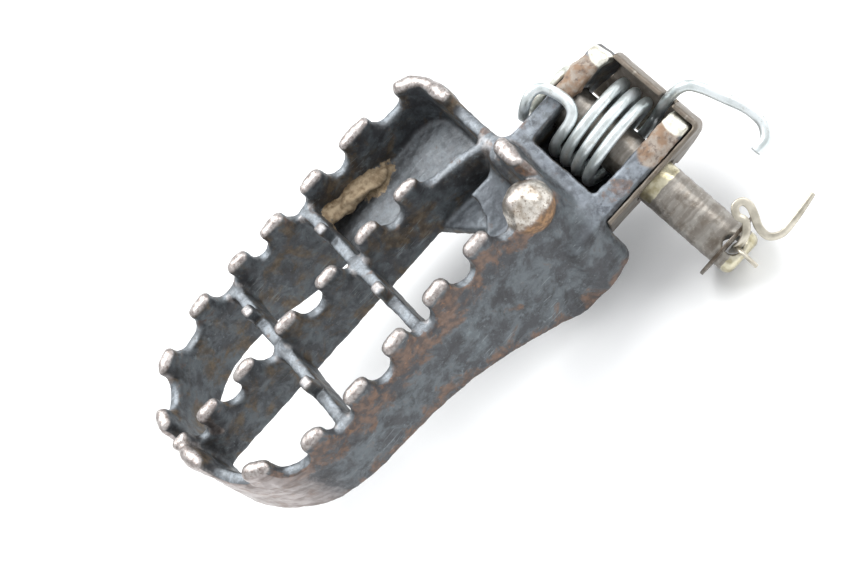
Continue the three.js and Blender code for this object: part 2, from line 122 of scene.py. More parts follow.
class Field:
    """Signed distances on a regular grid, in millimetres, negative inside."""

    def __init__(self, low, high, pitch, start=6.0):
        self.low = np.array(low, float)
        self.pitch = pitch
        shape = np.ceil((np.array(high) - self.low) / pitch).astype(int) + 1
        self.value = np.full(tuple(shape), start, np.float32)

    def window(self, low, high):
        where = []
        axes = []
        for i in range(3):
            first = max(0, int((low[i] - self.low[i]) / self.pitch))
            last = min(self.value.shape[i], int((high[i] - self.low[i]) / self.pitch) + 2)
            where.append(slice(first, last))
            axes.append(self.low[i] + self.pitch * np.arange(first, last))
        x, y, z = np.ix_(*axes)
        return tuple(where), x, y, z

    def join(self, low, high, shape, k=0.05):
        where, x, y, z = self.window(low, high)
        self.value[where] = soft_min(self.value[where], shape(x, y, z), k)

    def cut(self, low, high, shape, k=0.05):
        where, x, y, z = self.window(low, high)
        self.value[where] = soft_max(self.value[where], -shape(x, y, z), k)

    def at(self, points):
        """Values and gradients at points, read between the grid's values."""
        place = (points - self.low) / self.pitch
        cell = np.clip(np.floor(place).astype(int), 0, np.array(self.value.shape) - 2)
        f = place - cell
        corner = {}
        for i in (0, 1):
            for j in (0, 1):
                for k in (0, 1):
                    corner[i, j, k] = self.value[cell[:, 0] + i, cell[:, 1] + j, cell[:, 2] + k]
        value = 0
        slope = np.zeros((len(points), 3))
        for (i, j, k), v in corner.items():
            wx, wy, wz = (f[:, a] if side else 1 - f[:, a] for a, side in enumerate((i, j, k)))
            value = value + v * wx * wy * wz
            slope[:, 0] += (1 if i else -1) * v * wy * wz
            slope[:, 1] += (1 if j else -1) * v * wx * wz
            slope[:, 2] += (1 if k else -1) * v * wx * wy
        return value, slope / self.pitch

    def surface(self, relax=3):
        """The zero surface as vertices and quads, by naive surface nets."""
        inside = self.value < 0
        shape = tuple(n - 1 for n in inside.shape)
        count = np.zeros(shape, np.int8)
        corners = [(i, j, k) for i in (0, 1) for j in (0, 1) for k in (0, 1)]
        for i, j, k in corners:
            count += inside[i:i + shape[0], j:j + shape[1], k:k + shape[2]]
        active = (count > 0) & (count < 8)
        cells = np.argwhere(active)
        number = np.full(shape, -1, np.int64)
        number[active] = np.arange(len(cells))
        total = np.zeros((len(cells), 3))
        hits = np.zeros(len(cells))
        value = {c: self.value[tuple((cells + c).T)] for c in corners}
        for a in corners:
            for axis in range(3):
                if a[axis]:
                    continue
                b = tuple(1 if n == axis else m for n, m in enumerate(a))
                va, vb = value[a], value[b]
                crossed = (va < 0) != (vb < 0)
                t = np.where(crossed, va / np.where(crossed, va - vb, 1), 0)
                point = np.array(a, float) + t[:, None] * (np.array(b) - np.array(a))
                total += point * crossed[:, None]
                hits += crossed
        vertices = self.low + self.pitch * (cells + total / hits[:, None])
        quads = []
        for axis in range(3):
            u, v = [n for n in range(3) if n != axis]
            near = tuple(slice(0, -1) if n == axis else slice(1, -1) for n in range(3))
            far = tuple(slice(1, None) if n == axis else slice(1, -1) for n in range(3))
            first, second = inside[near], inside[far]
            edges = np.argwhere(first != second)
            forward = first[tuple(edges.T)]
            base = edges.copy()
            base[:, u] += 1
            base[:, v] += 1
            ring = []
            for du, dv in ((-1, -1), (0, -1), (0, 0), (-1, 0)):
                cell = base.copy()
                cell[:, u] += du
                cell[:, v] += dv
                ring.append(number[tuple(cell.T)])
            ring = np.stack(ring, 1)
            flip = ~forward if axis != 1 else forward
            ring[flip] = ring[flip][:, ::-1]
            quads.append(ring)
        quads = np.concatenate(quads)
        return self.relaxed(vertices, quads, relax), quads

    def relaxed(self, vertices, quads, rounds):
        """Evens out the vertices along the surface, and puts them back on it."""
        a = quads.ravel()
        b = np.roll(quads, -1, axis=1).ravel()
        near = np.bincount(a, minlength=len(vertices)) + np.bincount(b, minlength=len(vertices))
        for _ in range(rounds):
            mean = np.zeros_like(vertices)
            for axis in range(3):
                mean[:, axis] = np.bincount(a, vertices[b, axis], len(vertices))
                mean[:, axis] += np.bincount(b, vertices[a, axis], len(vertices))
            vertices = 0.5 * vertices + 0.5 * mean / near[:, None]
            for _ in range(2):
                value, slope = self.at(vertices)
                size = np.maximum((slope ** 2).sum(1), 0.05)
                step = np.clip(value / size, -0.4, 0.4)
                vertices = vertices - step[:, None] * slope
        return vertices


def ripple(points, length, seed, waves=14):
    """Smooth noise of about that wavelength, roughly between -1 and 1."""
    draw = np.random.default_rng(seed)
    total = np.zeros(len(points))
    for _ in range(waves):
        direction = draw.normal(size=3)
        direction *= 2 * np.pi / (length * draw.uniform(0.6, 1.6) * np.linalg.norm(direction))
        total += np.sin(points @ direction + draw.uniform(0, 2 * np.pi))
    return total / math.sqrt(waves)


# ---- meshes ---------------------------------------------------------------------------------

def mesh_object(name, vertices, faces, attributes=None):
    """A smooth-shaded object from points in millimetres, with point attributes."""
    mesh = bpy.data.meshes.new(name)
    mesh.from_pydata((np.asarray(vertices) * MM).tolist(), [], [list(f) for f in faces])
    mesh.validate()
    mesh.polygons.foreach_set("use_smooth", [True] * len(mesh.polygons))
    for key, values in (attributes or {}).items():
        layer = mesh.attributes.new(key, "FLOAT", "POINT")
        layer.data.foreach_set("value", np.asarray(values, np.float32))
    mesh.update()
    made = bpy.data.objects.new(name, mesh)
    bpy.context.scene.collection.objects.link(made)
    return made


def from_pin_frame(points):
    points = np.asarray(points, float)
    return (points[:, :1] * np.array([1.0, 0, 0]) + points[:, 1:2] * PIN_AXIS
            + points[:, 2:3] * PIN_UP)


def pin_coordinates(y, z):
    """s and e of row-frame coordinates."""
    return y * PIN_AXIS[1] + z * PIN_AXIS[2], y * PIN_UP[1] + z * PIN_UP[2]


def normals_of(vertices, quads):
    a = vertices[quads[:, 2]] - vertices[quads[:, 0]]
    b = vertices[quads[:, 3]] - vertices[quads[:, 1]]
    face = np.cross(a, b)
    total = np.zeros_like(vertices)
    for corner in range(4):
        for axis in range(3):
            total[:, axis] += np.bincount(quads[:, corner], face[:, axis], len(vertices))
    return total / np.maximum(np.linalg.norm(total, axis=1), 1e-9)[:, None]


def spline(points, per_span, closed=False):
    """Centripetal Catmull-Rom curve through the points."""
    p = np.asarray(points, float)
    if closed:
        p = np.concatenate([p[-1:], p, p[:2]])
    else:
        p = np.concatenate([2 * p[:1] - p[1:2], p, 2 * p[-1:] - p[-2:-1]])
    gap = np.maximum(np.linalg.norm(np.diff(p, axis=0), axis=1), 1e-6) ** 0.5
    made = []
    for i in range(1, len(p) - 2):
        a, b, c, d = p[i - 1:i + 3]
        ga, gb, gc = gap[i - 1:i + 2]
        m1 = ((b - a) / ga - (c - a) / (ga + gb) + (c - b) / gb) * gb
        m2 = ((c - b) / gb - (d - b) / (gb + gc) + (d - c) / gc) * gb
        t = (np.arange(per_span) / per_span)[:, None]
        made.append(b + m1 * t + (3 * (c - b) - 2 * m1 - m2) * t ** 2
                    + (2 * (b - c) + m1 + m2) * t ** 3)
    made = np.concatenate(made)
    return made if closed else np.concatenate([made, p[-2:-1]])


def swept(route, section):
    """A closed tube: section(share) gives the outline, in (side, up), at that share of the route."""
    tangent = np.gradient(route, axis=0)
    tangent /= np.linalg.norm(tangent, axis=1)[:, None]
    side = np.cross(tangent[0], [0.3, 0.2, 1.0])
    vertices = []
    for i, (point, direction) in enumerate(zip(route, tangent)):
        side = side - direction * side.dot(direction)
        side /= np.linalg.norm(side)
        up = np.cross(direction, side)
        outline = section(i / (len(route) - 1))
        vertices.extend(point + a * side + b * up for a, b in outline)
    sides = len(outline)
    faces = []
    for i in range(len(route) - 1):
        for j in range(sides):
            k = (j + 1) % sides
            faces.append([i * sides + j, i * sides + k, (i + 1) * sides + k, (i + 1) * sides + j])
    vertices.extend([route[0], route[-1]])
    start, end = len(vertices) - 2, len(vertices) - 1
    last = (len(route) - 1) * sides
    for j in range(sides):
        k = (j + 1) % sides
        faces.append([start, k, j])
        faces.append([end, last + j, last + k])
    return np.array(vertices), faces


# ---- the peg casting ------------------------------------------------------------------------

PITCH = 0.45
TOOTH_TOP = 18.8
VALLEY = 13.5
TOOTH_WIDTH = 5.4
TOOTH_HALF_THICKNESS = 1.5
RIM_TOOTH_LENGTH = 4.1
MIDDLE_TOOTH_LENGTH = 4.0
MIN_VALLEY = 5.0
WALL_TOP = 2.9
WALL_FOOT = 3.4
RIB_WIDTH = 2.8
CROSS_RIB_FOOT = 6.0
CROSS_TOOTH_TOP = 17.4
MIDDLE_RIB_FOOT = 2.0
SLOT_FLOOR = 11.2
BLOCK_END = 20.0
EAR_ROOT = 12.6
EAR_INNER = 8.4
REAR_EAR_OUTER = 13.7
FRONT_EAR_OUTER = -12.6
EAR_HALF = 8.5
EAR_TIP = 14.0
HEEL_X = -4.0
HEEL_BOTTOM = -13.4
HEEL_HALF_WIDTH = 8.9
COIL_CENTRE = -0.9
COIL_ROOM = 12.1
BORE = 5.3

# The rim of the tread: top centre (x, y), foot centre (x, y), foot height.
RIM = [
    ((18.2, 6.8), (16.6, 13.4), -13.0), ((21.6, 9.4), (19.5, 14.8), -15.0),
    ((28.0, 9.6), (28.5, 14.6), -17.0), ((34.7, 9.6), (34.7, 13.8), -14.3),
    ((46.9, 10.2), (46.9, 12.8), -9.2), ((59.3, 11.0), (59.3, 12.4), -5.2),
    ((71.5, 12.0), (71.5, 12.4), -3.6), ((84.4, 12.0), (84.6, 12.4), -2.6),
    ((92.5, 9.8), (92.9, 10.4), -1.8), ((99.5, 4.5), (100.1, 5.0), -1.4),
    ((105.2, -3.5), (105.9, -3.3), -1.2), ((108.0, -15.0), (108.7, -15.0), -1.0),
    ((106.8, -25.0), (107.4, -25.2), -1.0), ((101.5, -32.2), (101.9, -32.6), -1.2),
    ((93.0, -36.8), (93.2, -37.2), -1.5), ((82.0, -38.0), (82.0, -38.3), -2.5),
    ((68.0, -37.8), (68.0, -38.2), -6.0), ((50.0, -37.6), (50.0, -38.2), -8.5),
    ((32.0, -37.4), (32.0, -38.0), -9.0), ((22.0, -37.0), (22.0, -37.5), -8.0),
    ((17.0, -33.0), (17.0, -33.0), -5.0), ((16.0, -26.9), (16.5, -26.9), -1.0),
    ((16.2, -13.0), (17.0, -13.0), 0.0), ((16.6, -1.2), (17.5, -1.2), -4.0),
]
RIM_TEETH = [
    (21.6, 9.6), (34.7, 9.6), (46.9, 10.2), (59.3, 11.0), (71.5, 12.4), (84.4, 12.2),
    (97.6, 6.3), (107.7, -8.9), (107.8, -22.7), (98.7, -33.5),
    (85.7, -38.1), (72.7, -37.8), (60.8, -37.8), (48.8, -37.4), (36.0, -37.4), (19.8, -35.9),
    (16.2, -26.9), (16.7, -1.2),
]
LONG_TEETH = {(16.7, -1.2): 7.0, (19.8, -35.9): 6.2, (97.6, 6.3): 5.4}
MIDDLE_RIB = [(18.2, -11.0), (24.0, -13.4), (31.0, -14.5), (108.0, -14.6)]
MIDDLE_TEETH = [10.0, 36.1, 48.2, 60.6, 73.5, 86.7, 98.3, 108.0]
CROSS_RIBS = [(54.6, (-26.4, -2.5), -37.6, 11.0), (78.5, (-26.4, 0.0), -38.0, 12.2)]
BOSS = np.array([21.9, 9.7, 13.7])
BOSS_RADIUS = 5.15
FLOOR_EDGE = [(17, -37), (54.6, -37), (54.6, -14.6), (38, -14.6), (34, -8), (31.2, -3.7),
              (30, 3), (30, 12), (17, 12)]
GUSSET_EDGE = [(17, -11.4), (27.9, -11.4), (27.8, -9.2), (29.2, -5.6), (32.7, -2.7), (35, 2),
               (36, 8), (36, 13.6), (17, 13.6)]
SHOULDER = [(2, 6.6), (16.4, -0.6), (17.2, -5.0), (17.2, -11), (15.6, -15.6), (7.4, -15), (-2, -8)]
LUMPS = [(-5.4, -10.9, 7.9), (-3.0, -10.0, 7.8), (-6.0, 10.5, 7.8), (-3.6, 11.3, 7.8)]
LUMP_RADII = (2.4, 2.1, 1.7)
PADS = [(-11.4, -9.6), (-10.8, 10.9)]
MUD = [(38.5, -34.9, 6.0), (43.0, -35.2, 6.8), (47.8, -35.0, 7.9), (52.0, -35.0, 8.9)]
MUD_WIDTHS = (3.0, 3.4, 3.2, 2.4)


def add_rim(wall):
    top = spline([(*row[0], TOOTH_TOP) for row in RIM], 10, closed=True)
    foot = spline([(*row[1], row[2]) for row in RIM], 10, closed=True)
    reach = 5.0
    for i in range(len(top)):
        j = (i + 1) % len(top)
        ends = np.array([top[i], top[j], foot[i], foot[j]])
        where, x, y, z = wall.window(ends.min(0) - reach, ends.max(0) + reach)
        share = [np.clip((z - foot[n][2]) / (TOOTH_TOP - foot[n][2]), 0, 1) for n in (i, j)]
        ax, ay = (foot[i][a] + (top[i][a] - foot[i][a]) * share[0] for a in (0, 1))
        bx, by = (foot[j][a] + (top[j][a] - foot[j][a]) * share[1] for a in (0, 1))
        dx, dy = bx - ax, by - ay
        t = np.clip(((x - ax) * dx + (y - ay) * dy) / (dx * dx + dy * dy), 0, 1)
        half = (WALL_FOOT + (WALL_TOP - WALL_FOOT) * share[0]) / 2
        lateral = np.hypot(x - ax - t * dx, y - ay - t * dy) - half
        below = foot[i][2] + (foot[j][2] - foot[i][2]) * t - z
        solid = round_both(round_both(lateral, z - TOOTH_TOP, 1.3), below, 1.1)
        wall.value[where] = np.minimum(wall.value[where], solid)
    return top


def slot_between(across, up, half):
    """A round-bottomed gap between two teeth, open upward."""
    radius = min(3.4, half - 0.4)
    centre = VALLEY + radius
    u = np.maximum(np.abs(across) - (half - 0.4 - radius), 0)
    return np.hypot(u, np.maximum(centre - up, 0)) - radius


def cut_rim_valleys(wall, top):
    places = [int(np.argmin(np.hypot(top[:, 0] - x, top[:, 1] - y))) for x, y in RIM_TEETH]
    for start, end in zip(places, places[1:] + [places[0] + len(top)]):
        a, b = top[start], top[end % len(top)]
        middle = top[((start + end) // 2) % len(top)]
        length = np.linalg.norm(b - a)
        half = (length - TOOTH_WIDTH) / 2
        if half < MIN_VALLEY / 2:
            continue
        ux, uy = (b - a)[:2] / length

        def gap(x, y, z):
            across = (x - middle[0]) * ux + (y - middle[1]) * uy
            away = (y - middle[1]) * ux - (x - middle[0]) * uy
            return np.maximum(slot_between(across, z, half), np.abs(away) - 5.5)

        reach = np.array([half + 6, half + 6, 0])
        low = middle - reach
        high = middle + reach
        low[2], high[2] = VALLEY - 4, TOOTH_TOP + 3
        wall.cut(low, high, gap, 1.5)


def add_tooth(field, centre, along, length, draw):
    """A tooth's rounded head, a thumb-like bulb that is longer along the wall than across it."""
    x0, y0 = centre
    tip = TOOTH_TOP - draw.uniform(0.0, 0.5)
    half = length / 2 + draw.normal(0, 0.12)
    lean = draw.normal(0, 0.05)
    ux, uy = along
    here = np.array([x0, y0, tip - 3])
    reach = np.array([8, 8, 9])

    def bulb(x, y, z):
        u = (x - x0) * ux + (y - y0) * uy + lean * (z - tip)
        v = (y - y0) * ux - (x - x0) * uy
        return block(u, v, z, (-half, -TOOTH_HALF_THICKNESS, tip - 7),
                     (half, TOOTH_HALF_THICKNESS, tip), 1.45)

    field.join(here - reach, here + reach, bulb, 1.8)


def add_middle_rib(field):
    draw = np.random.default_rng(3)
    rib = Field(field.low, field.low + field.pitch * (np.array(field.value.shape) - 1), field.pitch)
    for (ax, ay), (bx, by) in zip(MIDDLE_RIB, MIDDLE_RIB[1:]):
        low = np.array([ax - 5, min(ay, by) - 6, -3])
        high = np.array([bx + 5, max(ay, by) + 6, TOOTH_TOP + 4])

        def web(x, y, z):
            dx, dy = bx - ax, by - ay
            t = np.clip(((x - ax) * dx + (y - ay) * dy) / (dx * dx + dy * dy), 0, 1)
            half = RIB_WIDTH / 2 + 0.02 * (VALLEY - z)
            lateral = np.hypot(x - ax - t * dx, y - ay - t * dy) - half
            return round_both(round_both(lateral, z - TOOTH_TOP, 1.2), MIDDLE_RIB_FOOT - z, 0.9)

        rib.join(low, high, web, 0.8)
    for a, b in zip(MIDDLE_TEETH, MIDDLE_TEETH[1:]):
        half = (b - a - TOOTH_WIDTH) / 2
        low = np.array([a - 3, -24, VALLEY - 4])
        high = np.array([b + 3, -4, TOOTH_TOP + 4])
        rib.cut(low, high, lambda x, y, z: slot_between(x - (a + b) / 2 + 0 * y, z, half), 1.5)
    for x0 in MIDDLE_TEETH[1:-1]:
        place = (x0 + draw.normal(0, 0.15), -14.6 + draw.normal(0, 0.12))
        add_tooth(rib, place, (1.0, 0.0), MIDDLE_TOOTH_LENGTH, draw)
    field.value = soft_min(field.value, rib.value, 1.8)


def add_cross_ribs(field):
    for x0, teeth, far, near in CROSS_RIBS:
        half = RIB_WIDTH / 2
        rib = Field(field.low, field.low + field.pitch * (np.array(field.value.shape) - 1), field.pitch)
        low, high = np.array([x0 - 6, far - 4, 0]), np.array([x0 + 6, near + 4, 22])
        rib.join(low, high, lambda x, y, z: block(
            x, y, z, (x0 - half, far, CROSS_RIB_FOOT), (x0 + half, near, VALLEY), 0.8))
        for y0 in teeth:
            rib.join(low, high, lambda x, y, z: block(
                x, y, z, (x0 - half + 0.05, y0 - 1.6, 11.5), (x0 + half - 0.05, y0 + 1.6, CROSS_TOOTH_TOP),
                0.75), 0.9)
        field.value = soft_min(field.value, rib.value, 2.0)


def add_hinge(field):
    """Floor, gusset, block and ears at the hinge end, then the bore and the spring's slot."""
    def floor(x, y, z):
        rise = 0.075 * np.clip(-14.6 - y, 0, 25)
        return round_both(polygon(x, y, FLOOR_EDGE) + 0 * z, np.abs(z - rise - 1.6) - 1.6, 0.9)

    field.join((8, -44, -6), (62, 20, 12), floor, 1.6)

    def gusset(x, y, z):
        s, e = pin_coordinates(y, z)
        return round_both(polygon(x, s, GUSSET_EDGE), np.abs(e - 2.75) - 1.25, 0.7)

    field.join((8, -18, -14), (44, 22, 20), gusset, 1.3)

    low, high = np.array([-21.0, -24.0, -24.0]), np.array([26.0, 24.0, 20.0])

    def core(x, y, z):
        s, e = pin_coordinates(y, z)
        body = block(x, s, e, (SLOT_FLOOR - 3, FRONT_EAR_OUTER, -EAR_HALF),
                     (BLOCK_END, REAR_EAR_OUTER, EAR_HALF), 1.0)
        shoulder = round_both(polygon(y, z, SHOULDER), np.abs(x - 19) - 4.5, 1.6)
        heel = block(x, s, e, (HEEL_X, -HEEL_HALF_WIDTH, HEEL_BOTTOM), (BLOCK_END, HEEL_HALF_WIDTH, 0.0), 0.8)
        return soft_min(soft_min(body, heel, 0.8), shoulder, 2.2)

    field.join(low, high, core, 3.6)

    def ear(inner, outer):
        def shape(x, y, z):
            s, e = pin_coordinates(y, z)
            tip = np.where(x < 0, np.hypot(x, e) - EAR_TIP, -EAR_TIP)
            plate = round_both(np.maximum(tip, x - EAR_ROOT), np.abs(e) - EAR_HALF, 0.8)
            return round_both(plate, np.abs(s - (inner + outer) / 2) - abs(outer - inner) / 2, 0.8)
        return shape

    field.join(low, high, ear(EAR_INNER, REAR_EAR_OUTER), 0.6)
    field.join(low, high, ear(-EAR_INNER, FRONT_EAR_OUTER), 0.6)
    for x0, s0, e0 in LUMPS:
        def lump(x, y, z):
            s, e = pin_coordinates(y, z)
            return ball(x, s, e, (x0, s0, e0), LUMP_RADII)
        field.join(low, high, lump, 1.0)

    def inside(x, y, z):
        s, e = pin_coordinates(y, z)
        slot = block(x, s, e, (-30, -EAR_INNER, -1), (SLOT_FLOOR, EAR_INNER, 30), 1.0)
        room = round_both(np.hypot(x - COIL_CENTRE, e) - COIL_ROOM, np.abs(s) - EAR_INNER, 1.0)
        slot = np.minimum(slot, room)
        bore = np.hypot(x, e) - BORE
        return np.minimum(slot, np.where(x < EAR_ROOT, bore + 0 * s, 20))

    field.cut(low, high, inside, 0.5)

    def flare(x, y, z):
        s, e = pin_coordinates(y, z)
        tip = round_both(np.hypot(x, e) - EAR_TIP, np.abs(e) - EAR_HALF, 0.8)
        inner = s + 9.6 - 0.38 * np.clip(-6.5 - x, 0, 7)
        return np.maximum(round_both(round_both(tip, inner, 0.9), -10.5 - s, 0.8), x + 5.9)

    field.join(low, high, flare, 0.8)


def mud_distance(x, y, z):
    total = 9.0
    for i, centre in enumerate(MUD):
        total = soft_min(total, ball(x, y, z, centre, (MUD_WIDTHS[i], 1.9, 1.5)), 1.8)
    return total


def peg_casting():
    low, high = (-16.5, -42.5, -21.5), (112.5, 21.0, 21.5)
    field = Field(low, high, PITCH)
    draw = np.random.default_rng(11)
    top = add_rim(field)
    cut_rim_valleys(field, top)
    for x0, y0 in RIM_TEETH[1:]:
        nearest = np.argmin(np.hypot(top[:, 0] - x0, top[:, 1] - y0))
        ahead = (top[(nearest + 2) % len(top)] - top[nearest - 2])[:2]
        length = LONG_TEETH.get((x0, y0), RIM_TOOTH_LENGTH)
        add_tooth(field, top[nearest][:2], ahead / np.linalg.norm(ahead), length, draw)
    add_middle_rib(field)
    add_cross_ribs(field)
    add_hinge(field)
    field.join((12, 0, 4), (32, 20, 21), lambda x, y, z: ball(
        x, y, z, BOSS, (BOSS_RADIUS, BOSS_RADIUS, BOSS_RADIUS)), 1.6)
    field.join((20, -42, 0), (62, -28, 16), mud_distance, 0.8)
    vertices, quads = field.surface()
    normals = normals_of(vertices, quads)
    rough = 0.07 * ripple(vertices, 5.0, 1) + 0.045 * ripple(vertices, 1.9, 2)
    s, e = pin_coordinates(vertices[:, 1], vertices[:, 2])
    lumps = np.min([np.linalg.norm(np.stack([vertices[:, 0] - a, s - b, e - c], 1) / (3.4, 2.9, 2.4), axis=1)
                    for a, b, c in LUMPS], axis=0)
    rough += 0.28 * ripple(vertices, 2.6, 5) * np.clip(1.3 - lumps, 0, 1)
    mud = mud_distance(*vertices.T)
    mud_share = np.clip(1.0 - mud / 2.0, 0, 1)
    rough += 0.3 * ripple(vertices, 2.2, 6) * np.clip(1.5 * mud_share - 0.5, 0, 1)
    deep = field.at(vertices - 1.1 * normals)[0]
    open_air = field.at(vertices + 2.4 * normals)[0]
    vertices = vertices + rough[:, None] * normals
    pads = np.max([np.clip(1.7 - np.hypot((vertices[:, 0] - a) / 2.2, (s - b) / 2.7), 0, 1)
                   for a, b in PADS], axis=0) * np.clip((e - 5.0) / 1.5, 0, 1)
    from_boss = vertices - BOSS
    attributes = {
        "edge": np.clip((deep + 1.1) / 0.5, 0, 1),
        # How closed-in each point is; the material darkens these hollows as painted shade.
        "cavity_shade": np.clip((2.4 - open_air) / 1.6, 0, 1),
        "upward": np.clip(normals[:, 2], 0, 1),
        "mud": mud_share,
        "lump": np.clip(1.55 - lumps, 0, 1),
        "pad": pads,
        "facing": normals[:, 1],
        "outer": normals[:, 0],
        "boss": np.clip((BOSS_RADIUS + 0.75 - np.linalg.norm(from_boss, axis=1)) / 0.5, 0, 1),
        "boss_side": from_boss[:, 1] - from_boss[:, 2],
    }
    made = mesh_object("cast_peg", vertices, quads, attributes)
    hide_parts("peg_casting")
    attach(made, "peg")
    return made


# ---- pin, washer, plate, spring and split pin ------------------------------------------------

def pin_field_object(name, field, extra):
    """A field made in (x, s, e) as an object in the row frame."""
    local, quads = field.surface()
    normals = normals_of(local, quads)
    local = local + extra(local)[:, None] * normals
    inside = field.at(local - 0.7 * normals)[0]
    outside = field.at(local + 1.2 * normals)[0]
    attributes = {
        "along": local[:, 1],
        "edge": np.clip((inside + 0.7) / 0.4, 0, 1),
        # How closed-in each point is; the pin's material darkens these hollows as painted shade.
        "cavity_shade": np.clip((1.2 - outside) / 0.9, 0, 1),
        "height": local[:, 2],
    }
    return mesh_object(name, from_pin_frame(local), quads, attributes)


PIN_RADIUS = 5.0
PIN_START = -14.0
PIN_END = 39.0
PIN_CHAMFER = 1.0
HEAD_RADIUS = 6.8
HEAD_MIDDLE = -13.9
HEAD_HALF_THICKNESS = 0.95
CROSS_HOLE_S = 35.5
CROSS_HOLE_RADIUS = 2.0


def pivot_pin():
    field = Field((-9.0, -19.0, -9.0), (9.0, 40.5, 9.0), 0.3)

    def shaft(x, s, e):
        radius = np.hypot(x, e)
        rings = 0.02 * np.sin(s * 2.1) + 0.02 * np.sin(s * 5.3 + 1.0)
        groove = 0.08 * np.exp(-((s - 26.2) / 0.35) ** 2)
        waist = np.where(s > 16, rings, 0) + groove
        body = np.maximum(radius + waist - PIN_RADIUS, PIN_START - s)
        chamfer = (radius + s - (PIN_RADIUS + PIN_END - PIN_CHAMFER)) / math.sqrt(2)
        return soft_max(np.maximum(body, s - PIN_END), chamfer, 0.5)

    field.join((-9, -19, -9), (9, 41, 9), shaft)
    field.join((-9, -19, -9), (9, -12, 9), lambda x, s, e: round_both(
        np.hypot(x, e) - HEAD_RADIUS, np.abs(s - HEAD_MIDDLE) - HEAD_HALF_THICKNESS, 0.6), 0.25)
    field.cut((-4, 32, -9), (4, 41, 9), lambda x, s, e: (
        np.hypot(x, s - CROSS_HOLE_S) - CROSS_HOLE_RADIUS + 0 * e), 0.5)
    made = pin_field_object("worn_pivot_pin", field, lambda p: 0.03 * ripple(p, 2.0, 21))
    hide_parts("pivot_pin")
    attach(made, "pivot")
    return made


def turned(name, profile, segments=96):
    """A ring turned about the pin's axis from a closed (radius, s) profile."""
    vertices = []
    for i in range(segments):
        angle = 2 * math.pi * i / segments
        vertices.extend((r * math.cos(angle), s, r * math.sin(angle)) for r, s in profile)
    count = len(profile)
    faces = []
    for i in range(segments):
        for j in range(count):
            a, b = i * count + j, i * count + (j + 1) % count
            step = ((i + 1) % segments - i) * count
            faces.append([a, b, b + step, a + step])
    return mesh_object(name, from_pin_frame(vertices), faces)


def flat_washer():
    inner, outer, start, thick, edge = 5.3, 8.25, 34.3, 0.8, 0.2
    corners = [(inner, start), (outer, start), (outer, start + thick), (inner, start + thick)]
    profile = []
    for n, (r, s) in enumerate(corners):
        ro = 1 if r == inner else -1
        so = 1 if s == start else -1
        for k in range(4):
            turn = math.pi / 2 * k / 3
            if n % 2:
                turn = math.pi / 2 - turn
            profile.append((r + ro * edge * (1 - math.cos(turn)), s + so * edge * (1 - math.sin(turn))))
    made = turned("thin_flat_washer", profile)
    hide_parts("flat_washer")
    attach(made, "washer")
    return made


def clevis_plate():
    thick, outer, free_edge, lower_edge = 1.0, 14.9, -8.0, -12.0
    radius, half_height, end = 15.35, 7.8, 13.6
    web_end, tongue_top, bore = -7.2, -8.9, 5.6
    field = Field((-16.6, -13.2, -14.8), (14.8, 16.2, 9.0), 0.25, 3.0)

    def channel(x, s, inset):
        return round_both(-(x + radius - inset), s - outer + inset, 1.5 - inset)

    def sheet(x, s, e):
        around = np.where(x < 0, -np.hypot(x, e), x + 0 * e)
        skin = np.maximum(channel(around, s, 0.0), -channel(around, s, thick))
        bottom = np.minimum(-half_height - e, x - web_end)
        skin = round_both(round_both(skin, e - half_height + 0.1 * np.sin(s * 0.4), 0.3), bottom, 0.3)
        left = np.where(e < tongue_top, lower_edge, free_edge)
        skin = round_both(round_both(skin, x - end, 0.3), left - s, 0.3)
        notch = block(x, s, e, (-20, 4.7, 3.0), (-8, 7.9, 20), 0.6)
        hole = bore - np.where(s > 12, np.hypot(x, e), 9)
        return soft_max(soft_max(skin, -notch, 0.2), hole, 0.2)

    field.join((-17, -17, -15), (15, 17, 9), sheet)
    made = pin_field_object("bent_clevis_plate", field, lambda p: 0.03 * ripple(p, 3.0, 31))
    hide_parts("clevis_plate")
    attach(made, "peg")
    return made


def with_ends(route, size):
    """The route with an extra point just inside each end, for a small bevel."""
    first = route[0] + (route[1] - route[0]) / np.linalg.norm(route[1] - route[0]) * size
    last = route[-1] + (route[-2] - route[-1]) / np.linalg.norm(route[-2] - route[-1]) * size
    keep = route[1:-1]
    keep = keep[np.linalg.norm(keep - route[0], axis=1) > 1.5 * size]
    keep = keep[np.linalg.norm(keep - route[-1], axis=1) > 1.5 * size]
    return np.concatenate([route[:1], [first], keep, [last], route[-1:]])


def return_spring():
    wire, coil, start, pitch = 1.2, 10.0, -6.58, 3.12
    route = [
        (8.3, -14.4, 2.6), (7.9, -14.35, 5.0), (7.0, -14.5, 8.0), (5.4, -14.9, 9.7), (3.5, -14.9, 10.3),
        (2.0, -13.8, 10.3), (1.2, -11.6, 10.2), (0.8, -9.6, 10.2), (0.9, -7.6, 10.3), (1.7, -6.0, 10.1),
        (3.3, -5.2, 9.3), (5.9, -5.1, 7.3),
    ]
    for i in range(7, 65):
        turn = i / 16
        angle = 2 * math.pi * turn
        route.append((COIL_CENTRE - coil * math.cos(angle), start + pitch * turn, coil * math.sin(angle)))
    route += [
        (-12.2, 6.0, 3.4), (-14.0, 6.2, 6.6), (-16.0, 6.8, 9.2), (-17.4, 7.8, 9.9), (-18.6, 9.9, 9.9),
        (-20.1, 14.5, 9.6), (-21.6, 20.3, 9.3), (-21.3, 23.9, 9.1), (-19.4, 26.2, 8.9), (-16.1, 26.5, 8.7),
    ]
    angles = np.linspace(0, 2 * np.pi, 18, endpoint=False)

    def section(share):
        r = wire * (0.82 if share in (0, 1) else 1)
        return [(r * math.cos(a), r * math.sin(a)) for a in angles]

    vertices, faces = swept(with_ends(spline(route, 7), 0.25), section)
    made = mesh_object("zinc_return_spring", from_pin_frame(vertices), faces)
    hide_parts("return_spring")
    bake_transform(made)
    return made


